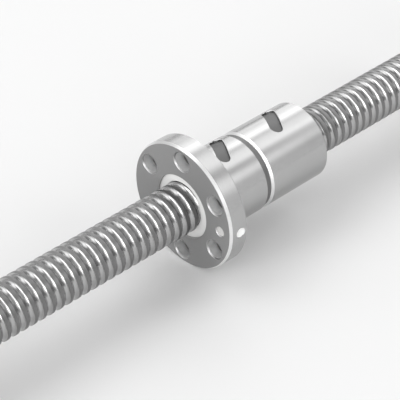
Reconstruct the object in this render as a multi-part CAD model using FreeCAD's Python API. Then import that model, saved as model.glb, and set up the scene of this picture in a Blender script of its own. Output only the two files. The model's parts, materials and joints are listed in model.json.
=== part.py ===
import FreeCAD, Part
import math
import os

from FreeCAD import Vector

# Ball screw: a ground screw with a flanged double ball nut, carried at both ends in ball bearings.
# Lengths are millimetres and angles are degrees. The screw's axis is X and +Z is up. The origin is
# on the axis in the plane of the flange's mounting face, and the nut bodies lie towards +X.
# Angles round the axis start at +Z and grow towards -Y, which is the way the thread turns as it
# climbs towards +X.

# Screw and raceway
screw_diameter = 25.0
lead = 5.0
ball_diameter = 3.175
ball_centre_rise = 0.375
groove_conformity = 0.52
contact_angle = 45.0
ball_clearance = 0.15
thread_before_flange = 156.0
thread_beyond_flange = 179.0
thread_chamfer = 1.2

# Flange
flange_thickness = 10.5
flange_edge_step = 7.25
flange_chamfer_length = 1.4
flange_chamfer_depth = 0.8
flange_back_chamfer = 0.4
bolt_circle_step = 5.75
bolt_count = 6
bolt_hole_diameter = 5.5
counterbore_diameter = 9.5
counterbore_depth = 5.5
counterbore_chamfer = 0.55

# Nut bodies
nut_diameter = 40.0
bore_clearance = 0.4
front_body_length = 26.8
front_body_chamfer = 0.3
spacer_width = 2.9
spacer_step = 0.8
spacer_wall = 3.8
rear_nut_length = 38.4
rear_nut_near_chamfer = 1.4
rear_nut_far_chamfer = 0.8
raceway_run_out = 5.5
raceway_relief = 0.25

# Dowels that stop one nut turning against the other
dowel_diameter = 2.5
dowel_depth = 3.0
dowel_fit = 0.02
dowel_angle = 90.0
dowel_count = 2

# Deflectors and ball circuits
deflector_width = 6.25
deflector_centres = 14.1
deflector_tilt = 29.0
deflector_angle = -6.6
deflector_recess = 1.0
deflector_fit = 0.03
window_edge_break = 0.25
front_circuit_position = 16.0
circuit_step_leads = 1.5
nut_step_leads = 7
crossing_half_angle = 38.0
crossing_clearance = 0.2
crossing_sharpness = 4
channel_clearance = 0.2
ball_gap = 0.05

# Wipers
wiper_diameter = 33.3
wiper_width = 4.0
wiper_recess = 1.2
wiper_fit = 0.05
wiper_clearance = 0.25

# Lubrication ports in the flange
port_diameter = 5.0
port_chamfer = 0.3
port_depth = 3.8
port_from_back = 4.1
port_angle = 90.0
port_passage_diameter = 1.6
plug_fit = 0.02
plug_recess = 0.8
plug_length = 2.8

# Bearing seats on the screw
journal_diameter = 20.0
collar_width = 6.0
collar_wall = 4.0
seat_clearance = 0.02
drive_end_diameter = 15.0
drive_end_length = 30.0
end_chamfer = 0.8
lock_thread_length = 14.0
relief_width = 1.5
relief_depth = 0.75
relief_overlap = 0.5
far_tail_length = 3.0
centre_hole_diameter = 4.0
centre_hole_depth = 5.0

# Ball bearings
fixed_bearing_section = 13.5
fixed_bearing_width = 14.0
fixed_ball_diameter = 7.938
fixed_ball_count = 11
floating_bearing_section = 11.0
floating_bearing_width = 12.0
floating_ball_diameter = 6.35
floating_ball_count = 9
bearing_chamfer = 0.8
race_clearance = 0.08
race_shoulder = 2.4
race_relief = 1.0
cage_half_height = 1.3
cage_side = 0.8
cage_pocket_clearance = 0.12

# Lock nut
lock_nut_wall = 6.0
lock_nut_width = 10.0
lock_nut_chamfer = 0.8
lock_nut_slots = 4
lock_nut_slot_width = 5.0
lock_nut_slot_depth = 2.0
grub_screw_diameter = 4.0
grub_screw_count = 2
grub_screw_angle = 135.0
grub_screw_step = 90.0
grub_screw_recess = 0.6
grub_socket = 2.0
grub_socket_depth = 1.6

# Circlip
circlip_thickness = 1.2
circlip_groove_width = 1.3
circlip_groove_depth = 0.5
circlip_height = 1.8
circlip_gap_angle = 26.0
circlip_lug_radius = 2.0
circlip_lug_hole = 0.85

# Places that follow from the sizes above
full_turn = 360.0
axis_start = Vector(0, 0, 0)
screw_axis = Vector(1, 0, 0)
screw_radius = screw_diameter / 2
ball_radius = ball_diameter / 2
ball_circle_radius = screw_radius + ball_centre_rise
groove_ball_radius = ball_radius + ball_clearance
groove_radius = 2 * groove_conformity * groove_ball_radius
groove_offset = (groove_radius - groove_ball_radius) * math.sin(math.radians(contact_angle))
nut_radius = nut_diameter / 2
nut_bore_radius = screw_radius + bore_clearance
bolt_circle_radius = nut_radius + bolt_circle_step
flange_radius = bolt_circle_radius + flange_edge_step
flange_front = -flange_thickness
front_body_end = front_body_length
rear_nut_start = front_body_end + spacer_width
rear_nut_end = rear_nut_start + rear_nut_length
thread_start = -thread_before_flange
thread_end = thread_beyond_flange
journal_radius = journal_diameter / 2
groove_phase = front_circuit_position + lead / 2 - lead * deflector_angle / full_turn
clear_of_part = 2 * lead
sweep_tolerance = 1e-6
edge_tolerance = 1e-3


def turned(outline):
    """Turn an outline of (place along the axis, radius) points into a solid."""
    points = [Vector(x, 0, radius) for x, radius in outline]
    face = Part.Face(Part.makePolygon(points + points[:1]))
    return face.revolve(axis_start, screw_axis, full_turn)


def ring(start, end, inner, outer, chamfer=0.0):
    """A plain ring, with its outer edges chamfered."""
    return turned([(start, inner), (start, outer - chamfer), (start + chamfer, outer),
                   (end - chamfer, outer), (end, outer - chamfer), (end, inner)])


def rod(start, end, radius):
    """A solid cylinder on the axis."""
    return Part.makeCylinder(radius, end - start, Vector(start, 0, 0), screw_axis)


def axial_hole(start, end, angle, distance, radius):
    """A cylinder parallel to the axis, at a distance from it."""
    hole = Part.makeCylinder(radius, end - start, Vector(start, 0, distance), screw_axis)
    return turned_by(hole, angle)


def axial_cone(start, end, angle, distance, start_radius, end_radius):
    """A cone parallel to the axis, at a distance from it."""
    cone = Part.makeCone(start_radius, end_radius, end - start, Vector(start, 0, distance), screw_axis)
    return turned_by(cone, angle)


def radial_hole(place, angle, inner, outer, radius):
    """A cylinder that points away from the axis."""
    hole = Part.makeCylinder(radius, outer - inner, Vector(place, 0, inner), Vector(0, 0, 1))
    return turned_by(hole, angle)


def hexagon(across_flats, depth):
    """A hexagonal prism that stands on the XY plane and goes up."""
    corner = across_flats / math.sqrt(3)
    sides = 6
    turns = [2 * math.pi * side / sides for side in range(sides)]
    points = [Vector(corner * math.cos(turn), corner * math.sin(turn), 0) for turn in turns]
    return Part.Face(Part.makePolygon(points + points[:1])).extrude(Vector(0, 0, depth))


def turned_by(shape, angle):
    """A copy of a shape, turned round the screw's axis."""
    copy = shape.copy()
    copy.rotate(axis_start, screw_axis, angle)
    return copy


def moved_by(shape, distance):
    """A copy of a shape, moved along the screw's axis."""
    copy = shape.copy()
    copy.translate(Vector(distance, 0, 0))
    return copy


def raceway_section(land_radius, side, arc_radius):
    """One lead of the thread's outline: the two arcs of the pointed groove, then the land.

    The groove goes inwards from the land on the screw (side 1) and outwards in the nut (side -1).
    It is drawn in the XZ plane for an axis along Z, with the groove's middle at the height 0.
    """
    centre = ball_circle_radius + side * groove_offset
    reach = land_radius - centre
    half_width = math.sqrt(arc_radius ** 2 - reach ** 2) - groove_offset
    bottom_radius = centre - side * math.sqrt(arc_radius ** 2 - groove_offset ** 2)
    lower = Vector(land_radius, 0, -half_width)
    bottom = Vector(bottom_radius, 0, 0)
    upper = Vector(land_radius, 0, half_width)
    next_lower = Vector(land_radius, 0, lead - half_width)

    def flank(start, end, arc_height):
        arc_centre = Vector(centre, 0, arc_height)
        middle = (start - arc_centre) + (end - arc_centre)
        return Part.Arc(start, arc_centre + middle.normalize() * arc_radius, end).toShape()

    flanks = [flank(lower, bottom, groove_offset), flank(bottom, upper, -groove_offset)]
    return Part.Wire(flanks + [Part.LineSegment(upper, next_lower).toShape()]), half_width


def helical_solid(land_radius, side, arc_radius, start, end):
    """A solid bar with the raceway on it, from a little before start to a little after end.

    One turn of the outline is swept by a screw motion and repeated, and each end is closed by a
    helicoid from the first or last edge to the axis and a flat step.
    """
    section, half_width = raceway_section(land_radius, side, arc_radius)
    one_turn = Part.makeHelix(lead, lead, land_radius)
    one_turn.translate(Vector(0, 0, -half_width))
    sweep = Part.BRepOffsetAPI.MakePipeShell(one_turn)
    sweep.setBiNormalMode(Vector(0, 0, 1))
    sweep.setTolerance(sweep_tolerance, sweep_tolerance, sweep_tolerance)
    sweep.add(section, one_turn.Vertexes[0], False, False)
    sweep.build()
    strip = sweep.shape().Faces

    low, high = Vector(0, 0, -half_width), Vector(0, 0, lead - half_width)
    axis_edge = Part.LineSegment(low, high).toShape()
    spokes = [Part.LineSegment(low, section.Vertexes[0].Point).toShape(),
              Part.LineSegment(high, section.Vertexes[-1].Point).toShape()]
    step = Part.Face(Part.Wire(Part.sortEdges(section.Edges + spokes + [axis_edge])[0]))

    def lowest_helix(face):
        turns = [edge for edge in face.Edges if edge.Length > math.pi * land_radius]
        return min(turns, key=lambda edge: edge.CenterOfMass.z)

    def highest_helix(face):
        turns = [edge for edge in face.Edges if edge.Length > math.pi * land_radius]
        return max(turns, key=lambda edge: edge.CenterOfMass.z)

    first_turn = math.floor((start - groove_phase) / lead) - 1
    turns = math.ceil((end - groove_phase) / lead) + 1 - first_turn
    faces = []
    for turn in range(turns):
        faces += [face.translated(Vector(0, 0, turn * lead)) for face in strip]
    last_turn = Vector(0, 0, (turns - 1) * lead)
    past_end = Vector(0, 0, turns * lead)
    faces += [Part.makeRuledSurface(lowest_helix(strip[0]), axis_edge), step,
              Part.makeRuledSurface(highest_helix(strip[-1]).translated(last_turn),
                                    axis_edge.translated(past_end)), step.translated(past_end)]
    skin = Part.makeCompound(faces)
    skin.sewShape()
    solid = Part.makeSolid(skin.Shells[0])
    if solid.Volume < 0:
        solid.reverse()
    along_screw = FreeCAD.Rotation(Vector(0, 0, 1), Vector(0, -1, 0), Vector(1, 0, 0), "ZXY")
    solid.Placement = FreeCAD.Placement(Vector(groove_phase + first_turn * lead, 0, 0), along_screw)
    return solid


def end_trimmer(place, outward):
    """What is cut from a threaded bar to give it a flat end with a chamfer."""
    beyond = place + outward * 2 * clear_of_part
    return turned([(beyond, 0), (place, 0), (place, screw_radius - thread_chamfer),
                   (place - outward * 2 * thread_chamfer, screw_radius + thread_chamfer),
                   (beyond, screw_radius + thread_chamfer)])


def centre_hole(place, outward):
    """The cone that a lathe centre leaves in the end of a shaft."""
    return turned([(place, 0), (place, centre_hole_diameter / 2),
                   (place - outward * centre_hole_depth, 0)])


near_stack = collar_width + 2 * fixed_bearing_width
far_stack = collar_width + floating_bearing_width
near_journal_end = thread_start - near_stack
near_lock_end = near_journal_end - lock_thread_length
near_tip = near_lock_end - drive_end_length
far_journal_end = thread_end + far_stack
far_groove_end = far_journal_end + circlip_groove_width
far_tip = far_groove_end + far_tail_length


def near_journal():
    """The fixed end: bearing seat, lock nut thread with its relief groove, and drive end."""
    relief_radius = journal_radius - relief_depth
    relief_start = near_journal_end + relief_overlap
    drive_radius = drive_end_diameter / 2
    shaft = turned([(thread_start, 0), (thread_start, journal_radius),
                    (relief_start, journal_radius), (relief_start, relief_radius),
                    (relief_start - relief_width, relief_radius),
                    (relief_start - relief_width, journal_radius),
                    (near_lock_end + end_chamfer, journal_radius),
                    (near_lock_end, journal_radius - end_chamfer),
                    (near_lock_end, drive_radius), (near_tip + end_chamfer, drive_radius),
                    (near_tip, drive_radius - end_chamfer), (near_tip, 0)])
    return shaft.cut(centre_hole(near_tip, -1))


def far_journal():
    """The floating end: bearing seat and the groove for its circlip."""
    groove_bottom = journal_radius - circlip_groove_depth
    shaft = turned([(thread_end, 0), (thread_end, journal_radius), (far_journal_end, journal_radius),
                    (far_journal_end, groove_bottom), (far_groove_end, groove_bottom),
                    (far_groove_end, journal_radius), (far_tip - end_chamfer, journal_radius),
                    (far_tip, journal_radius - end_chamfer), (far_tip, 0)])
    return shaft.cut(centre_hole(far_tip, 1))


def screw_shaft():
    """The screw: one pointed raceway from end to end, and a turned journal at each end."""
    threaded = helical_solid(screw_radius, 1, groove_radius, thread_start, thread_end)
    threaded = threaded.cut(end_trimmer(thread_start, -1)).cut(end_trimmer(thread_end, 1))
    return threaded.fuse([near_journal(), far_journal()])


def window(clearance, inner, outer):
    """The slanted, round-ended block of a deflector, pointing up from the axis at the place 0."""
    width = deflector_width / 2 - clearance
    slant = math.radians(deflector_tilt)
    along = Vector(-math.sin(slant), -math.cos(slant), 0)
    across = Vector(along.y, -along.x, 0)
    first, last = along * (-deflector_centres / 2), along * (deflector_centres / 2)
    corners = [first + across * width, last + across * width, last - across * width, first - across * width]
    outline = Part.Wire([Part.LineSegment(corners[0], corners[1]).toShape(),
                         Part.Arc(corners[1], last + along * width, corners[2]).toShape(),
                         Part.LineSegment(corners[2], corners[3]).toShape(),
                         Part.Arc(corners[3], first - along * width, corners[0]).toShape()])
    block = Part.Face(outline).extrude(Vector(0, 0, outer - inner))
    block.translate(Vector(0, 0, inner))
    return block


def placed_at_circuit(shape, circuit):
    """Move what was made for the place 0 and the angle 0 to one of the four ball circuits."""
    position, angle = circuit
    return turned_by(moved_by(shape, position), angle)


circuit_step = circuit_step_leads * lead
rear_circuit_position = front_circuit_position + nut_step_leads * lead
half_turn = full_turn / 2
circuits = {
    "front_1": (front_circuit_position, deflector_angle),
    "front_2": (front_circuit_position - circuit_step, deflector_angle + half_turn),
    "rear_1": (rear_circuit_position, deflector_angle),
    "rear_2": (rear_circuit_position - circuit_step, deflector_angle + half_turn),
}
crossing_start = lead / 2 - lead * crossing_half_angle / full_turn
crossing_slope = 2 * lead * crossing_half_angle / full_turn
crossing_lift = screw_radius + ball_radius + crossing_clearance - ball_circle_radius


def on_helix(angle, drop):
    """A ball's centre in the raceway beside the crossing: drop is 1 before it and -1 after it."""
    return point_at(drop * lead / 2 + lead * angle / full_turn, angle, ball_circle_radius)


def on_crossing(share):
    """A ball's centre on its way over the land, from share -1 at the start to 1 at the end.

    Along the axis it follows a cubic that leaves and joins the helix at the helix's own slope.
    """
    step = (share + 1) / 2
    from_start = 2 * step ** 3 - 3 * step ** 2 + 1
    start_slope = step ** 3 - 2 * step ** 2 + step
    end_slope = step ** 3 - step ** 2
    place = crossing_start * (2 * from_start - 1) + crossing_slope * (start_slope + end_slope)
    lift = crossing_lift * (1 - abs(share) ** crossing_sharpness) ** 2
    return point_at(place, share * crossing_half_angle, ball_circle_radius + lift)


def point_at(place, angle, radius):
    """A point by its place along the axis, its angle round it and its distance from it."""
    turn = math.radians(angle)
    return Vector(place, -radius * math.sin(turn), radius * math.cos(turn))


def ball_loop():
    """Centres along one closed circuit: nearly a turn of the helix, then the crossing."""
    samples = 720
    helix_angle = full_turn - 2 * crossing_half_angle
    loop = [on_helix(crossing_half_angle + helix_angle * step / samples, -1) for step in range(samples)]
    loop += [on_crossing(2 * step / samples - 1) for step in range(samples)]
    return loop + loop[:1]


def ball_circuit():
    """As many balls as fit in one circuit, evenly spread round it."""
    loop = ball_loop()
    travelled = [0.0]
    for before, after in zip(loop, loop[1:]):
        travelled.append(travelled[-1] + before.distanceToPoint(after))
    count = math.floor(travelled[-1] / (ball_diameter + ball_gap))
    balls = []
    for number in range(count):
        target = travelled[-1] * number / count
        nearest = min(range(len(loop)), key=lambda index: abs(travelled[index] - target))
        balls.append(Part.makeSphere(ball_radius, loop[nearest]))
    return Part.makeCompound(balls)


def return_channel():
    """The tube that the balls pass through in a deflector, with a run of raceway at both ends."""
    samples = 16
    run_out = crossing_half_angle / 2
    points = [on_helix(-crossing_half_angle - run_out, 1), on_helix(-crossing_half_angle - run_out / 2, 1)]
    points += [on_crossing(2 * step / samples - 1) for step in range(samples + 1)]
    points += [on_helix(crossing_half_angle + run_out / 2, -1), on_helix(crossing_half_angle + run_out, -1)]
    path = Part.BSplineCurve()
    path.interpolate(points)
    start_direction = points[1] - points[0]
    mouth = Part.Wire(Part.makeCircle(ball_radius + channel_clearance, points[0], start_direction))
    return Part.Wire(path.toShape()).makePipeShell([mouth], True, True)


def deflector():
    """The insert that lifts the balls over one land and back into the raceway they came from."""
    floor_radius = nut_bore_radius + deflector_fit
    top_radius = nut_radius - deflector_recess
    block = window(deflector_fit, ball_circle_radius / 2, nut_radius)
    block = block.common(ring(-clear_of_part, clear_of_part, floor_radius, top_radius))
    raceway = helical_solid(nut_bore_radius, -1, groove_radius,
                            front_circuit_position - 2 * lead, front_circuit_position + 2 * lead)
    raceway = moved_by(turned_by(raceway, -deflector_angle), -front_circuit_position)
    own_turns = Part.makeBox(2 * lead, nut_diameter, nut_diameter, Vector(-lead, -nut_radius, 0))
    return block.cut(raceway.cut(own_turns)).cut(return_channel())


def nut_bore(names, start, end):
    """What is cut through a nut: the raceway round its ball circuits, and a relief at each end.

    The reliefs are a little wider than the raceway, so that it runs out into them.
    """
    places = [circuits[name][0] for name in names]
    first, last = min(places) - raceway_run_out, max(places) + raceway_run_out
    relief_radius = ball_circle_radius + groove_radius + raceway_relief
    return [helical_solid(nut_bore_radius, -1, groove_radius, first, last),
            rod(start, first, relief_radius), rod(last, end, relief_radius)]


def windows_of(names):
    """The holes through a nut's wall for its deflectors."""
    opening = window(0.0, ball_circle_radius / 2, nut_diameter)
    return [placed_at_circuit(opening, circuits[name]) for name in names]


def runs_round_window(edge):
    """Whether an edge lies on a nut's outside and runs neither straight along it nor round it."""
    middle = edge.valueAt((edge.FirstParameter + edge.LastParameter) / 2)
    points = [middle] + [vertex.Point for vertex in edge.Vertexes]
    on_outside = all(abs(math.hypot(point.y, point.z) - nut_radius) < edge_tolerance for point in points)
    return on_outside and min(edge.BoundBox.XLength, edge.BoundBox.YLength) > edge_tolerance


def with_windows(blank, names):
    """A nut's blank with its windows cut, and a small chamfer round the mouth of each."""
    body = blank.cut(windows_of(names))
    return body.makeChamfer(window_edge_break, [edge for edge in body.Edges if runs_round_window(edge)])


def dowel_places():
    """The angles round the axis at which the dowels stand."""
    return [dowel_angle + full_turn * number / dowel_count for number in range(dowel_count)]


spacer_outer = nut_radius - spacer_step
spacer_inner = spacer_outer - spacer_wall
dowel_distance = (spacer_outer + spacer_inner) / 2


def dowels(clearance):
    """The dowels, or with a clearance the holes that they stand in."""
    start = front_body_end - dowel_depth - clearance
    end = rear_nut_start + dowel_depth + clearance
    radius = dowel_diameter / 2 + clearance
    return [axial_hole(start, end, angle, dowel_distance, radius) for angle in dowel_places()]


def bolt_holes():
    """Counterbored holes with a chamfered mouth, the first one at the top."""
    floor = flange_front + counterbore_depth
    counterbore = counterbore_diameter / 2
    cutters = []
    for number in range(bolt_count):
        angle = full_turn * number / bolt_count
        cutters += [axial_hole(flange_front, floor, angle, bolt_circle_radius, counterbore),
                    axial_hole(floor, 0, angle, bolt_circle_radius, bolt_hole_diameter / 2),
                    axial_cone(flange_front, flange_front + counterbore_chamfer, angle,
                               bolt_circle_radius, counterbore + counterbore_chamfer, counterbore)]
    return cutters


def lubrication_ports():
    """A port in the rim and one in the front face that meet, and the passage into the bore."""
    port, passage = port_diameter / 2, port_passage_diameter / 2
    meeting = -port_from_back
    face_floor = flange_front + port_depth
    rim_floor = flange_radius - port_depth
    mouth_rim = Part.makeCone(port, port + port_chamfer, port_chamfer,
                              Vector(meeting, 0, flange_radius - port_chamfer), Vector(0, 0, 1))
    return [radial_hole(meeting, port_angle, rim_floor, flange_radius + port_chamfer, port),
            radial_hole(meeting, port_angle, screw_radius, rim_floor, passage),
            turned_by(mouth_rim, port_angle),
            axial_hole(flange_front, face_floor, port_angle, bolt_circle_radius, port),
            axial_hole(face_floor, meeting, port_angle, bolt_circle_radius, passage),
            axial_cone(flange_front, flange_front + port_chamfer, port_angle,
                       bolt_circle_radius, port + port_chamfer, port)]


def flanged_nut():
    """The front nut: the bolted flange and the first part of the body."""
    blank = turned([(flange_front, 0), (flange_front, flange_radius - flange_chamfer_depth),
                    (flange_front + flange_chamfer_length, flange_radius),
                    (-flange_back_chamfer, flange_radius), (0, flange_radius - flange_back_chamfer),
                    (0, nut_radius), (front_body_end - front_body_chamfer, nut_radius),
                    (front_body_end, nut_radius - front_body_chamfer), (front_body_end, 0)])
    pocket = rod(flange_front, flange_front + wiper_recess + wiper_width, wiper_diameter / 2)
    names = ["front_1", "front_2"]
    body = with_windows(blank, names).cut(nut_bore(names, flange_front, front_body_end))
    return body.cut([pocket] + bolt_holes() + lubrication_ports() + dowels(dowel_fit))


def rear_nut():
    """The second nut, which is shimmed against the first to take up the play."""
    blank = turned([(rear_nut_start, 0), (rear_nut_start, nut_radius - rear_nut_near_chamfer),
                    (rear_nut_start + rear_nut_near_chamfer, nut_radius),
                    (rear_nut_end - rear_nut_far_chamfer, nut_radius),
                    (rear_nut_end, nut_radius - rear_nut_far_chamfer), (rear_nut_end, 0)])
    pocket = rod(rear_nut_end - wiper_recess - wiper_width, rear_nut_end, wiper_diameter / 2)
    names = ["rear_1", "rear_2"]
    body = with_windows(blank, names).cut(nut_bore(names, rear_nut_start, rear_nut_end))
    return body.cut([pocket] + dowels(dowel_fit))


def preload_spacer():
    """The ring between the nuts, a little smaller than they are, so that a dark gap shows."""
    body = ring(front_body_end, rear_nut_start, spacer_inner, spacer_outer)
    return body.cut(dowels(dowel_fit))


def wiper(start):
    """A plastic ring whose bore follows the screw's thread and keeps dirt out of the nut."""
    body = rod(start, start + wiper_width, wiper_diameter / 2 - wiper_fit)
    screw_space = helical_solid(screw_radius + wiper_clearance, 1, groove_radius - wiper_clearance,
                                start, start + wiper_width)
    return body.cut(screw_space)


def rim_port_plug():
    """The plastic plug in the rim port."""
    top = flange_radius - plug_recess
    return radial_hole(-port_from_back, port_angle, top - plug_length, top, port_diameter / 2 - plug_fit)


def face_port_plug():
    """The same plug in the port in the front face."""
    front = flange_front + plug_recess
    radius = port_diameter / 2 - plug_fit
    return axial_hole(front, front + plug_length, port_angle, bolt_circle_radius, radius)


def bearing(start, width, section, ball, ball_count, relief):
    """Outer ring, inner ring, balls and cage of a bearing that begins at start.

    A relief of 0 gives a deep-groove bearing. With 1 or -1 the rings are cut back on opposite
    sides, as in an angular-contact bearing, and the outer ring opens towards that side.
    """
    end = start + width
    middle = (start + end) / 2
    bore = journal_radius + seat_clearance
    outside = journal_radius + section
    pitch_radius = journal_radius + section / 2
    race = Part.makeTorus(pitch_radius, ball / 2 + race_clearance, Vector(middle, 0, 0), screw_axis)
    outer_land, inner_land = pitch_radius + race_shoulder, pitch_radius - race_shoulder
    near_relief = race_relief if relief < 0 else 0.0
    far_relief = race_relief if relief > 0 else 0.0
    outer = turned([(start, outer_land + near_relief), (start, outside - bearing_chamfer),
                    (start + bearing_chamfer, outside), (end - bearing_chamfer, outside),
                    (end, outside - bearing_chamfer), (end, outer_land + far_relief),
                    (middle, outer_land)])
    inner = turned([(start, bore + bearing_chamfer), (start, inner_land - far_relief),
                    (middle, inner_land), (end, inner_land - near_relief),
                    (end, bore + bearing_chamfer), (end - bearing_chamfer, bore),
                    (start + bearing_chamfer, bore)])
    reach = ball / 2 + cage_side
    balls, pockets = [], []
    for number in range(ball_count):
        angle = full_turn * number / ball_count
        balls.append(Part.makeSphere(ball / 2, point_at(middle, angle, pitch_radius)))
        pockets.append(radial_hole(middle, angle, bore, outside, ball / 2 + cage_pocket_clearance))
    cage = ring(middle - reach, middle + reach, pitch_radius - cage_half_height,
                pitch_radius + cage_half_height)
    return {"outer_ring": outer.cut(race), "inner_ring": inner.cut(race),
            "balls": Part.makeCompound(balls), "cage": cage.cut(pockets)}


def collar(start):
    """The spacer between the shoulder of the thread and a bearing's inner ring."""
    return ring(start, start + collar_width, journal_radius + seat_clearance,
                journal_radius + collar_wall, end_chamfer / 2)


lock_nut_start = near_journal_end - lock_nut_width
lock_nut_radius = journal_radius + lock_nut_wall
grub_places = [grub_screw_angle + grub_screw_step * number for number in range(grub_screw_count)]


def lock_nut():
    """The slotted nut that clamps the fixed bearings, with holes for its grub screws."""
    middle = lock_nut_start + lock_nut_width / 2
    body = ring(lock_nut_start, near_journal_end, journal_radius + seat_clearance, lock_nut_radius,
                lock_nut_chamfer)
    slot_corner = Vector(lock_nut_start, -lock_nut_slot_width / 2, lock_nut_radius - lock_nut_slot_depth)
    slot = Part.makeBox(lock_nut_width, lock_nut_slot_width, 2 * lock_nut_slot_depth, slot_corner)
    slots = [turned_by(slot, full_turn * number / lock_nut_slots) for number in range(lock_nut_slots)]
    screw_holes = [radial_hole(middle, angle, journal_radius, lock_nut_radius + lock_nut_chamfer,
                               grub_screw_diameter / 2 + seat_clearance) for angle in grub_places]
    return body.cut(slots + screw_holes)


def grub_screws():
    """The screws that press on the shaft and stop the lock nut working loose."""
    middle = lock_nut_start + lock_nut_width / 2
    bottom, top = journal_radius + seat_clearance, lock_nut_radius - grub_screw_recess
    socket = hexagon(grub_socket, grub_socket_depth)
    socket.translate(Vector(middle, 0, top - grub_socket_depth))
    screw = radial_hole(middle, 0, bottom, top, grub_screw_diameter / 2).cut(socket)
    return Part.makeCompound([turned_by(screw, angle) for angle in grub_places])


def circlip():
    """The sprung ring that holds the floating bearing, open at the top between its two lugs."""
    inner = journal_radius - circlip_groove_depth + seat_clearance
    outer = inner + circlip_height
    start = far_journal_end + (circlip_groove_width - circlip_thickness) / 2
    end = start + circlip_thickness
    body = ring(start, end, inner, outer)
    edge = 2 * outer
    half_gap = math.radians(circlip_gap_angle / 2)
    wedge = Part.Face(Part.makePolygon([Vector(start, 0, 0),
                                        Vector(start, -edge * math.sin(half_gap), edge * math.cos(half_gap)),
                                        Vector(start, edge * math.sin(half_gap), edge * math.cos(half_gap)),
                                        Vector(start, 0, 0)])).extrude(Vector(circlip_thickness, 0, 0))
    lug_distance = outer + circlip_lug_radius / 2
    lug_turn = math.degrees(math.atan2(circlip_lug_radius, lug_distance))
    lug_angles = [side * (circlip_gap_angle / 2 + lug_turn) for side in (-1, 1)]
    lugs = [axial_hole(start, end, angle, lug_distance, circlip_lug_radius) for angle in lug_angles]
    holes = [axial_hole(start, end, angle, lug_distance, circlip_lug_hole) for angle in lug_angles]
    inside = rod(start, end, inner)
    return body.cut(wedge).fuse(lugs).cut(holes + [inside])


def all_parts():
    """Every piece of the ball screw, by its name."""
    parts = {
        "screw_shaft": screw_shaft(),
        "flanged_nut": flanged_nut(),
        "rear_nut": rear_nut(),
        "preload_spacer": preload_spacer(),
        "nut_dowels": Part.makeCompound(dowels(0.0)),
        "front_wiper": wiper(flange_front + wiper_recess),
        "rear_wiper": wiper(rear_nut_end - wiper_recess - wiper_width),
        "rim_port_plug": rim_port_plug(),
        "face_port_plug": face_port_plug(),
        "fixed_side_collar": collar(thread_start - collar_width),
        "floating_side_collar": collar(thread_end),
        "lock_nut": lock_nut(),
        "lock_nut_grub_screws": grub_screws(),
        "circlip": circlip(),
    }
    insert, balls = deflector(), ball_circuit()
    for name, circuit in circuits.items():
        parts["deflector_" + name] = placed_at_circuit(insert, circuit)
        parts["ball_circuit_" + name] = placed_at_circuit(balls, circuit)
    fixed = (fixed_bearing_width, fixed_bearing_section, fixed_ball_diameter, fixed_ball_count)
    floating = (floating_bearing_width, floating_bearing_section, floating_ball_diameter, floating_ball_count)
    inboard = thread_start - collar_width - fixed_bearing_width
    bearings = {
        "fixed_inboard": bearing(inboard, *fixed, 1),
        "fixed_outboard": bearing(inboard - fixed_bearing_width, *fixed, -1),
        "floating": bearing(thread_end + collar_width, *floating, 0),
    }
    for place, pieces in bearings.items():
        for piece, shape in pieces.items():
            parts[place + "_" + piece] = shape
    return parts


os.makedirs("parts", exist_ok=True)
for node, shape in all_parts().items():
    shape.exportStep("parts/" + node + ".step")
    print(node, "solids", len(shape.Solids), "valid", shape.isValid(), "volume", round(shape.Volume, 2))
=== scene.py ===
# %% [markdown]
# # A ball screw with a preloaded double nut
#
# A ball screw turns rotation into travel. A hardened shaft carries one long helical groove, and a
# nut rides on it on a stream of steel balls, so it moves with almost no friction. All the solids
# come from the CAD frame, already in place and in metres. What is left to do here is the eye's
# part: what each piece is made of, how it was finished, and the light that shows it.

# %% Load the frame
import bpy
import json
import math
from mathutils import Matrix, Vector


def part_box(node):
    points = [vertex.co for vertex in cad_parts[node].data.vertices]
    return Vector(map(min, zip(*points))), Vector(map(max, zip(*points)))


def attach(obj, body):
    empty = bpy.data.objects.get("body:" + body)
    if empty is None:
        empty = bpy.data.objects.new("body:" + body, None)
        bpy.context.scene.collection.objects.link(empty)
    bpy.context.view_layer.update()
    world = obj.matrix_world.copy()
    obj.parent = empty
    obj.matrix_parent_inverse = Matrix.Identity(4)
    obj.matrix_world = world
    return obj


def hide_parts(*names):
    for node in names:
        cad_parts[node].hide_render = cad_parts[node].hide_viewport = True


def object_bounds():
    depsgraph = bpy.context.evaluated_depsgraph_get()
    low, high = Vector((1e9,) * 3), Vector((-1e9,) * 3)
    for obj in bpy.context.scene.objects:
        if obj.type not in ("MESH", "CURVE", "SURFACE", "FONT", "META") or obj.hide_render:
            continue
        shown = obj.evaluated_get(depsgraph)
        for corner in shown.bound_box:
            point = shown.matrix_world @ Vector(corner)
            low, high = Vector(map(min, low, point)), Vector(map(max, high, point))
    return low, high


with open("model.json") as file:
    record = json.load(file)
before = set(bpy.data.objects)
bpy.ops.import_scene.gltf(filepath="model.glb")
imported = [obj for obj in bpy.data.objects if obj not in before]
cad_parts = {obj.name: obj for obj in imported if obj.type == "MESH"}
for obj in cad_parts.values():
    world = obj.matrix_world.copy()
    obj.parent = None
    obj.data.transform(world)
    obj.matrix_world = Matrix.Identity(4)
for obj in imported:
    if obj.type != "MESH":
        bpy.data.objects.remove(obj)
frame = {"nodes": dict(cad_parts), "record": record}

nodes = frame["nodes"]
size_before = [list(corner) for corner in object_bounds()]
print("CAD box in metres:", size_before)

# %% [markdown]
# ## Small helpers
#
# A material is a graph of nodes. Typing one in by hand takes a line for the node, one for each
# setting and one for each wire, so one helper does all three. Colours are easier to judge as the
# hex codes of a colour picker, but a renderer works in linear light, so a second helper converts.

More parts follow.
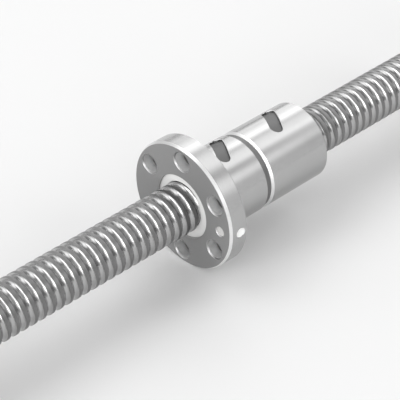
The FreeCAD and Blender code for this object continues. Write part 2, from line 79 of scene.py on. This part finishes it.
# %% A node with its settings and wires
def add(tree, kind, inputs=None, **settings):
    made = tree.nodes.new("ShaderNode" + kind)
    for name, value in settings.items():
        setattr(made, name, value)
    for socket, value in (inputs or {}).items():
        if isinstance(value, bpy.types.NodeSocket):
            tree.links.new(value, made.inputs[socket])
        else:
            made.inputs[socket].default_value = value
    return made


print("one helper adds every kind of node")

# %% A hex colour in linear light
def linear(hex_code):
    channels = [int(hex_code[place:place + 2], 16) / 255 for place in (1, 3, 5)]
    straight = [c / 12.92 if c <= 0.04045 else ((c + 0.055) / 1.055) ** 2.4 for c in channels]
    return (*straight, 1.0)


print("mid grey #808080 is", round(linear("#808080")[0], 3), "in linear light")

# %% [markdown]
# ## The grain of a turned or ground surface
#
# Every steel piece here was made by spinning it against a tool or a grinding wheel. The marks are
# circles round the axis: fine lines across a cylinder, and rings on a flat face. Both come from
# one trick. Distance along the axis and distance from the axis are used as the coordinates of a
# noise pattern, so the pattern changes along a cylinder, changes outwards on a face, and hardly
# changes round the axis. A little of the height is mixed in so that no ring is perfect.

# %% Coordinates along and away from the screw's axis
MM = 0.001
HEIGHT_MIXED_IN = 0.004


def along_axis(tree):
    place = add(tree, "TexCoord").outputs["Object"]
    return add(tree, "SeparateXYZ", {0: place}).outputs["X"]


def distance_from_axis(tree):
    place = add(tree, "TexCoord").outputs["Object"]
    parts = add(tree, "SeparateXYZ", {0: place})
    across = add(tree, "CombineXYZ", {"Y": parts.outputs["Y"], "Z": parts.outputs["Z"]})
    return add(tree, "VectorMath", {0: across.outputs[0]}, operation="LENGTH").outputs["Value"]


def lathe_coordinates(tree, pitch_mm):
    place = add(tree, "TexCoord").outputs["Object"]
    height = add(tree, "SeparateXYZ", {0: place}).outputs["Z"]
    waver = add(tree, "Math", {0: height, 1: HEIGHT_MIXED_IN}, operation="MULTIPLY")
    lathe = add(tree, "CombineXYZ", {"X": along_axis(tree), "Y": distance_from_axis(tree),
                                     "Z": waver.outputs[0]})
    return add(tree, "VectorMath", {0: lathe.outputs[0], "Scale": 1 / (pitch_mm * MM)},
               operation="SCALE").outputs[0]


print("grain coordinates are ready")

# %% [markdown]
# ## Ground and turned steels
#
# Bare steel is a metal: it has no colour of its own under the surface, only a tinted mirror. What
# tells one steel piece from another is how far its reflection is blurred, which is its roughness,
# and how the grain breaks it up. One function makes such a steel from a colour, a darker colour
# for thin oil and handling stains, a roughness, and the spacing of its grain. Real grinding marks
# are about 0.02 mm apart, far too fine to show, so they are drawn ten to thirty times as coarse.

# %% A steel with grain, stains and a bump
STAIN_MM, STAIN_FROM, STAIN_FULL, STAIN_SHARE = 9, 0.5, 0.75, 0.35
GRAIN_BUMP_MM, GRAIN_BUMP_STRENGTH = 0.001, 0.15


def steel(name, colour, stain, roughness, grain_mm, spread=0.03, zones=()):
    material = bpy.data.materials.new(name)
    material.use_nodes = True
    tree = material.node_tree
    shader = tree.nodes["Principled BSDF"]
    shader.inputs["Metallic"].default_value = 1.0
    grain = add(tree, "TexNoise", {"Vector": lathe_coordinates(tree, grain_mm), "Scale": 1.0,
                                   "Detail": 3.0, "Roughness": 0.6})
    place = add(tree, "TexCoord").outputs["Object"]
    cloud = add(tree, "TexNoise", {"Vector": place, "Scale": 1 / (STAIN_MM * MM), "Detail": 4.0})
    patch = add(tree, "MapRange", {"Value": cloud.outputs["Fac"], "From Min": STAIN_FROM,
                                   "From Max": STAIN_FULL, "To Max": STAIN_SHARE})
    mixed = add(tree, "Mix", {"Factor": patch.outputs[0], "A": linear(colour),
                              "B": linear(stain)}, data_type="RGBA")
    rough = add(tree, "MapRange", {"Value": grain.outputs["Fac"], "To Min": roughness - spread,
                                   "To Max": roughness + spread})
    bump = add(tree, "Bump", {"Height": grain.outputs["Fac"], "Strength": GRAIN_BUMP_STRENGTH,
                              "Distance": GRAIN_BUMP_MM * MM})
    for zone, zone_colour, zone_roughness in zones:
        share = zone(tree)
        mixed = add(tree, "Mix", {"Factor": share, "A": mixed.outputs["Result"],
                                  "B": linear(zone_colour)}, data_type="RGBA")
        lift = add(tree, "Math", {0: share, 1: zone_roughness - roughness}, operation="MULTIPLY")
        rough = add(tree, "Math", {0: rough.outputs[0], 1: lift.outputs[0]}, operation="ADD")
    tree.links.new(mixed.outputs["Result"], shader.inputs["Base Color"])
    tree.links.new(rough.outputs[0], shader.inputs["Roughness"])
    tree.links.new(bump.outputs[0], shader.inputs["Normal"])
    return material


print("steel function is ready")

# %% [markdown]
# ## Zones
#
# One piece can have several finishes. The groove of the screw is ground bright, and the lands, the
# bar's outside, look duller beside it. The front of the flange looks matt, while the rest of the
# nut is ground; the front is also painted a darker grey, which is painted shade. In the photo the
# chamfers and the walls of the counterbores are pale, and that paleness is a painted highlight. The
# counterbores' floors are dark and the rest of their holes a darker grey, which is painted shade.
# All these greys are matched to the photo, and how the real pieces were finished isn't known. A
# zone is a mask from 0 to 1, and it comes from where the surface is and which way it faces. Where
# masks overlap, the later one wins.

# %% How far a surface faces the back
SQUARE_TO_FRONT = -0.97
CHAMFER_TILT, CHAMFER_SPAN = -0.6, 0.2
WALL_TILT, WALL_SPAN = 0.0, 0.3


def facing_back(tree):
    normal = add(tree, "NewGeometry").outputs["True Normal"]
    return add(tree, "SeparateXYZ", {0: normal}).outputs["X"]


def square_to_front(tree):
    return add(tree, "Math", {0: facing_back(tree), 1: SQUARE_TO_FRONT},
               operation="LESS_THAN").outputs[0]


# Chamfers that face the front; the nut paints them pale as a painted highlight.
def front_chamfers(tree):
    return add(tree, "Math", {0: facing_back(tree), 1: CHAMFER_TILT, 2: CHAMFER_SPAN},
               operation="COMPARE").outputs[0]


print("front faces and chamfers can be told apart")

# %% Masks for the lands and the flange's face
LAND_FROM, LAND_FULL = 12.25 * MM, 12.45 * MM
FACE_FROM, FACE_FULL = -10.3 * MM, -10.45 * MM


def lands(tree):
    return add(tree, "MapRange", {"Value": distance_from_axis(tree), "From Min": LAND_FROM,
                                  "From Max": LAND_FULL},
               interpolation_type="SMOOTHSTEP").outputs[0]


# The flange's front face; the nut paints it a darker grey as painted shade.
def flange_face(tree):
    at_front = add(tree, "MapRange", {"Value": along_axis(tree), "From Min": FACE_FROM,
                                      "From Max": FACE_FULL}, interpolation_type="SMOOTHSTEP")
    return add(tree, "Math", {0: at_front.outputs[0], 1: square_to_front(tree)},
               operation="MULTIPLY").outputs[0]


print("lands start", LAND_FROM / MM, "mm from the axis")

# %% Masks for the holes in the flange, their walls and their floors
HOLES_MIDDLE, HOLES_HALF_LENGTH = -5.325 * MM, 5.125 * MM
HOLES_CIRCLE, HOLES_HALF_WIDTH = 26.0 * MM, 5.5 * MM


# The holes as a whole; the nut paints them a darker grey as painted shade.
def flange_holes(tree):
    in_flange = add(tree, "Math", {0: along_axis(tree), 1: HOLES_MIDDLE, 2: HOLES_HALF_LENGTH},
                    operation="COMPARE")
    on_circle = add(tree, "Math", {0: distance_from_axis(tree), 1: HOLES_CIRCLE,
                                   2: HOLES_HALF_WIDTH}, operation="COMPARE")
    return add(tree, "Math", {0: in_flange.outputs[0], 1: on_circle.outputs[0]},
               operation="MULTIPLY").outputs[0]


# Their walls; the nut paints them pale as a painted highlight.
def hole_walls(tree):
    sideways = add(tree, "Math", {0: facing_back(tree), 1: WALL_TILT, 2: WALL_SPAN},
                   operation="COMPARE")
    return add(tree, "Math", {0: flange_holes(tree), 1: sideways.outputs[0]},
               operation="MULTIPLY").outputs[0]


# Their floors; the nut paints them dark as painted shade.
def hole_floors(tree):
    return add(tree, "Math", {0: flange_holes(tree), 1: square_to_front(tree)},
               operation="MULTIPLY").outputs[0]


print("holes lie", HOLES_CIRCLE / MM, "mm from the axis, give or take", HOLES_HALF_WIDTH / MM)

# %% [markdown]
# ## Which steel goes where
#
# The screw is hardened and ground, so its groove mirrors the room in sharp lines. The nuts are
# ground more finely. The spacer is only turned, and its dark grey is painted shade for its gap
# between the nuts. The deflectors are pressed from powder and sintered, which leaves them matt.
# Balls are lapped to a near perfect mirror. Bearing rings are ground as the nuts are. The cages
# are machined brass, the only warm colour, and the circlip has the dull, dark grey of a phosphate
# coat. These are the usual finishes of such pieces. The greys of the screw, nuts, spacer and
# deflectors are matched to the photo.

# %% The steels of this ball screw
finishes = {
    "screw_steel": steel("hardened ground screw steel", "#B4B4B4", "#A7A7A6", 0.25, 0.5,
                         zones=[(lands, "#808080", 0.38)]),
    "nut_steel": steel("ground nut steel", "#B2B2B2", "#ABABAB", 0.24, 0.35,
                       # The pale chamfers are a painted highlight.
                       zones=[(front_chamfers, "#EAEAEA", 0.42),
                              # Inside the holes the darker grey is painted shade, the pale walls
                              # are a painted highlight and the dark floors are painted shade.
                              (flange_holes, "#9C9C9C", 0.24),
                              (hole_walls, "#ECECEC", 0.60),
                              (hole_floors, "#4C4C4C", 0.45),
                              # The front face's darker grey is painted shade; its higher roughness
                              # makes it matt.
                              (flange_face, "#989898", 0.75)]),
    # The spacer's dark grey is painted shade for the gap between the nuts.
    "spacer_steel": steel("turned steel with painted shade", "#7B7B7B", "#606162", 0.45, 0.25),
    "pin_steel": steel("ground dowel steel", "#C4C4C4", "#A8A8A8", 0.25, 0.3),
    "deflector_steel": steel("sintered steel", "#727272", "#666666", 0.50, 0.6),
    "ball_steel": steel("lapped ball steel", "#D4D4D5", "#C4C4C4", 0.07, 2.0, spread=0.02),
    "bearing_steel": steel("ground bearing steel", "#CDCDCC", "#B5B3B0", 0.22, 0.3),
    "cage_brass": steel("machined brass", "#C9A560", "#A98746", 0.30, 0.4),
    "spring_steel": steel("phosphated spring steel", "#4A4A4B", "#37373A", 0.50, 0.5),
}
print("metals made:", ", ".join(finishes))

# %% [markdown]
# ## Black oxide
#
# The lock nut and its grub screws are blackened in a hot salt bath. The black is a thin, slightly
# oily layer of iron oxide, not paint, so it stays half metallic and goes brown where it is thin.

# %% Black oxide on steel
THIN_PATCH_MM, THIN_FROM, THIN_FULL = 4, 0.35, 0.8


def black_oxide():
    material = bpy.data.materials.new("black oxide on steel")
    material.use_nodes = True
    tree = material.node_tree
    shader = tree.nodes["Principled BSDF"]
    shader.inputs["Metallic"].default_value = 0.6
    place = add(tree, "TexCoord").outputs["Object"]
    cloud = add(tree, "TexNoise", {"Vector": place, "Scale": 1 / (THIN_PATCH_MM * MM),
                                   "Detail": 5.0})
    thin = add(tree, "MapRange", {"Value": cloud.outputs["Fac"], "From Min": THIN_FROM,
                                  "From Max": THIN_FULL})
    mixed = add(tree, "Mix", {"Factor": thin.outputs[0], "A": linear("#1E1E20"),
                              "B": linear("#38332F")}, data_type="RGBA")
    rough = add(tree, "MapRange", {"Value": cloud.outputs["Fac"], "To Min": 0.30, "To Max": 0.50})
    tree.links.new(mixed.outputs["Result"], shader.inputs["Base Color"])
    tree.links.new(rough.outputs[0], shader.inputs["Roughness"])
    return material


finishes["blackened_steel"] = black_oxide()
print("black oxide made")

# %% [markdown]
# ## Moulded plastics
#
# The wiper and the port plugs are moulded in unfilled nylon or acetal: white, a little waxy, with
# the faint orange-peel texture of the mould.

# %% A white moulded plastic
PEEL_MM, PEEL_HEIGHT_MM, PEEL_STRENGTH, PEEL_SPREAD = 0.5, 0.01, 0.2, 0.06
SHADE_MM = 6


def moulded(name, colour, shade, roughness):
    material = bpy.data.materials.new(name)
    material.use_nodes = True
    tree = material.node_tree
    shader = tree.nodes["Principled BSDF"]
    place = add(tree, "TexCoord").outputs["Object"]
    peel = add(tree, "TexNoise", {"Vector": place, "Scale": 1 / (PEEL_MM * MM), "Detail": 2.0})
    cloud = add(tree, "TexNoise", {"Vector": place, "Scale": 1 / (SHADE_MM * MM), "Detail": 3.0})
    mixed = add(tree, "Mix", {"Factor": cloud.outputs["Fac"], "A": linear(colour),
                              "B": linear(shade)}, data_type="RGBA")
    rough = add(tree, "MapRange", {"Value": peel.outputs["Fac"],
                                   "To Min": roughness - PEEL_SPREAD,
                                   "To Max": roughness + PEEL_SPREAD})
    bump = add(tree, "Bump", {"Height": peel.outputs["Fac"], "Strength": PEEL_STRENGTH,
                              "Distance": PEEL_HEIGHT_MM * MM})
    tree.links.new(mixed.outputs["Result"], shader.inputs["Base Color"])
    tree.links.new(rough.outputs[0], shader.inputs["Roughness"])
    tree.links.new(bump.outputs[0], shader.inputs["Normal"])
    return material


finishes["wiper_plastic"] = moulded("white moulded nylon", "#D1D1D0", "#CBCBCA", 0.42)
finishes["plug_plastic"] = moulded("white moulded acetal", "#FAFAF9", "#F4F4F3", 0.38)
# A greyer copy of the acetal: its grey is painted shade for the plug in the flange's face.
face_plug_painted_shade = moulded("moulded acetal with painted shade", "#B4B3B2", "#ADACAB", 0.42)
print("plastics made: white nylon, white acetal and greyed acetal")

# %% [markdown]
# ## Dress the nodes
#
# The record says which material slot each node belongs to, so each node takes the finish with
# that slot's name. In the photo the plug in the flange's face is greyer than the one in the rim.
# It is taken for the same plastic, so it gets a greyer version of it, and that grey is painted
# shade.

# %% Give every node its finish
for part in frame["record"]["subparts"]:
    nodes[part["node"]].material_slots[0].material = finishes[part["material_slot"]]
# The face plug's greyer colour is painted shade.
nodes["face_port_plug"].material_slots[0].material = face_plug_painted_shade

# %% [markdown]
# ## The plug in the rim
#
# A port plug is a short moulded pin with rounded edges and a shallow dish in its end, which keeps
# the gate mark of the mould below the surface. The CAD's plug in the flange's rim sits 0.8 mm deep,
# but the photo shows a full disc, so a flush pin replaces it. It starts as a cylinder, its outer
# edge gets a bevel of a few steps, and its end face is inset and pushed in. It points sideways,
# along -Y, so its end is found by the way it faces.

# %% The pin of the plug, in the rim port
PLUG_RADIUS, PLUG_INNER, PLUG_OUTER = 2.47 * MM, 29.4 * MM, 32.9 * MM
plug_low, plug_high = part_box("rim_port_plug")
plug_x = (plug_low[0] + plug_high[0]) / 2
bpy.ops.object.select_all(action="DESELECT")
bpy.ops.mesh.primitive_cylinder_add(
    vertices=64, radius=PLUG_RADIUS, depth=PLUG_OUTER - PLUG_INNER,
    location=(plug_x, -(PLUG_INNER + PLUG_OUTER) / 2, 0), rotation=(math.radians(90), 0, 0))
rim_plug = bpy.context.object
rim_plug.name = "flush_rim_plug"
bpy.ops.object.transform_apply(location=True, rotation=True, scale=True)
print("pin at x =", round(plug_x / MM, 2), "mm")

# %% Its rounded edge and its dish
EDGE_ROUNDING, FLAT_RIM, DISH_SLOPE, DISH_DEPTH = 0.2 * MM, 0.5 * MM, 0.25 * MM, 0.15 * MM
END_ROUGHLY, END_EXACTLY = -0.9, -0.999
bpy.ops.object.mode_set(mode="EDIT")
bpy.ops.mesh.select_mode(type="FACE")
bpy.ops.mesh.select_all(action="DESELECT")
bpy.ops.object.mode_set(mode="OBJECT")
for face in rim_plug.data.polygons:
    face.select = face.normal.y < END_ROUGHLY
bpy.ops.object.mode_set(mode="EDIT")
bpy.ops.mesh.bevel(offset=EDGE_ROUNDING, segments=4)
bpy.ops.object.mode_set(mode="OBJECT")
for face in rim_plug.data.polygons:
    face.select = face.normal.y < END_EXACTLY
bpy.ops.object.mode_set(mode="EDIT")
bpy.ops.mesh.inset(thickness=FLAT_RIM, depth=0)
bpy.ops.mesh.inset(thickness=DISH_SLOPE, depth=-DISH_DEPTH)
bpy.ops.object.mode_set(mode="OBJECT")
bpy.ops.object.shade_smooth_by_angle(angle=math.radians(35))
print("flush plug:", len(rim_plug.data.polygons), "faces")

# %% It rides with the nut and stands for the CAD's plug
rim_plug.data.materials.append(finishes["plug_plastic"])
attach(rim_plug, "nut")
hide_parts("rim_port_plug")
print(rim_plug.name, "replaces rim_port_plug")

# %% [markdown]
# ## The floor
#
# The part lies over a plain pale floor, which is large enough to fill the picture and hides the
# horizon. It also works as a light from below: the lower sides of the screw and the nut mirror it.

# %% A pale floor just under the flange
FLOOR_SIZE, FLOOR_GAP = 14, 0.5 * MM
floor_height = size_before[0][2] - FLOOR_GAP
bpy.ops.object.select_all(action="DESELECT")
bpy.ops.mesh.primitive_plane_add(size=FLOOR_SIZE, location=(0, 0, floor_height))
floor = bpy.context.object
floor.name = "floor"
floor_paint = bpy.data.materials.new("pale studio floor")
floor_paint.use_nodes = True
shader = floor_paint.node_tree.nodes["Principled BSDF"]
shader.inputs["Base Color"].default_value = linear("#EAEAEA")
shader.inputs["Roughness"].default_value = 0.9
shader.inputs["Specular IOR Level"].default_value = 0.1
floor.data.materials.append(floor_paint)
print("floor at", round(floor_height, 4))

# %% [markdown]
# ## The room
#
# Polished steel is a mirror, so its light is really a picture of the room round it. The room here
# is dim and has soft-edged panels hung in it, as round a product on a photographer's table. The
# strongest is a low wall of light on the left, square to the screw: only the flanks of the thread
# that face it, and the chamfers, send it to the camera, so it draws one bright line per turn. The
# panels behind and over the nut give the white streak along its top, and the gaps between panels
# give the grey bands. Each panel is a direction, a radius in degrees and a brightness. Its light
# is full in the inner quarter of the radius and fades out to the edge, and all of them are added.
# First 28 directions were listed. A separate program then kept these 17 and solved their
# brightnesses by least squares, so that zones of the steel come out as bright as in the photo.
# After that they were all lowered together, to two thirds.

# %% One soft panel, added to the light so far
FULL_SHARE = 1 / 4


def panel(tree, view, azimuth, elevation, radius, brightness, so_far):
    turn, rise = math.radians(azimuth), math.radians(elevation)
    middle = (math.cos(turn) * math.cos(rise), math.sin(turn) * math.cos(rise), math.sin(rise))
    nearness = add(tree, "VectorMath", {0: view, 1: middle}, operation="DOT_PRODUCT")
    glow = add(tree, "MapRange", {"Value": nearness.outputs["Value"],
                                  "From Min": math.cos(math.radians(radius)),
                                  "From Max": math.cos(math.radians(radius * FULL_SHARE))},
               interpolation_type="SMOOTHSTEP")
    return add(tree, "Math", {0: glow.outputs[0], 1: brightness, 2: so_far},
               operation="MULTIPLY_ADD").outputs[0]


print("panel function is ready")

# %% The panels of the room: azimuth, elevation, radius, brightness
panels = {
    "low wall on the left": (205, 5, 20, 9.46),
    "tall box on the front left": (175, 24, 20, 4.99),
    "end of the low wall": (165, 5, 20, 2.06),
    "box over the wall": (205, 42, 20, 1.21),
    "box beside the camera": (240, 24, 20, 1.66),
    "box over the camera": (240, 60, 26, 0.42),
    "box on the back left": (140, 35, 26, 1.44),
    "high box on the back left": (120, 62, 26, 1.92),
    "low box on the back left": (105, 16, 26, 0.50),
    "streak behind the nut": (50, 38, 18, 1.68),
    "edge of the streak": (30, 38, 18, 1.34),
    "low box behind": (40, 14, 18, 2.11),
    "low box behind, to the left": (66, 14, 18, 1.04),
    "box over the far end": (0, 56, 20, 1.73),
    "box on the right": (342, 36, 20, 1.68),
    "box on the front right": (300, 36, 20, 1.97),
    "low box on the right": (303, 8, 18, 0.80),
}
print(len(panels), "panels:", ", ".join(panels))

# %% Hang them in a dim room
DIM_ROOM = 0.19
world = bpy.data.worlds.new("studio room")
bpy.context.scene.world = world
world.use_nodes = True
tree = world.node_tree
view = add(tree, "TexCoord").outputs["Generated"]
light = DIM_ROOM
for azimuth, elevation, radius, brightness in panels.values():
    light = panel(tree, view, azimuth, elevation, radius, brightness, light)
tree.links.new(light, tree.nodes["Background"].inputs["Strength"])
tree.nodes["Background"].inputs["Color"].default_value = (1, 1, 1, 1)
print("the room's own light is", DIM_ROOM)

# %% [markdown]
# ## The camera
#
# The flange in the photo is an ellipse, and the thread gets narrower towards the top right. The
# viewing direction, the distance and the lens were fitted beforehand to such edges, to the holes
# in the flange and to the spacing of the highlights along the thread. The camera is put where it
# sees the centre of the flange's front face at the same spot.

# %% Which way the camera looks
AZIMUTH, ELEVATION = math.radians(-43.267), math.radians(37.888)
back = Vector((math.sin(AZIMUTH) * math.cos(ELEVATION), -math.cos(AZIMUTH) * math.cos(ELEVATION),
               math.sin(ELEVATION)))
right = Vector((math.cos(AZIMUTH), math.sin(AZIMUTH), 0))
up = back.cross(right)
print("the camera looks along", [round(-value, 3) for value in back])

# %% The camera of the photo
DISTANCE = 0.7879
FOCAL_PIXELS, FRAME_PIXELS, SENSOR_MM = 1680.4, 400, 36
flange_front = Vector((-10.5 * MM, 0, 0))
offset_right, offset_up = -18.17, -6.55
metres_per_pixel = DISTANCE / FOCAL_PIXELS
camera = bpy.data.objects.new("camera", bpy.data.cameras.new("camera"))
bpy.context.scene.collection.objects.link(camera)
camera.data.sensor_width = SENSOR_MM
camera.data.lens = FOCAL_PIXELS / FRAME_PIXELS * SENSOR_MM
camera.data.clip_start, camera.data.clip_end = 0.01, 50
turn = Matrix((right, up, back)).transposed()
camera.matrix_world = Matrix.Translation(
    flange_front + back * DISTANCE - right * offset_right * metres_per_pixel
    - up * offset_up * metres_per_pixel) @ turn.to_4x4()
bpy.context.scene.camera = camera
print("camera at", [round(value, 4) for value in camera.location])

# %% Colours as written
bpy.context.scene.view_settings.view_transform = "Standard"
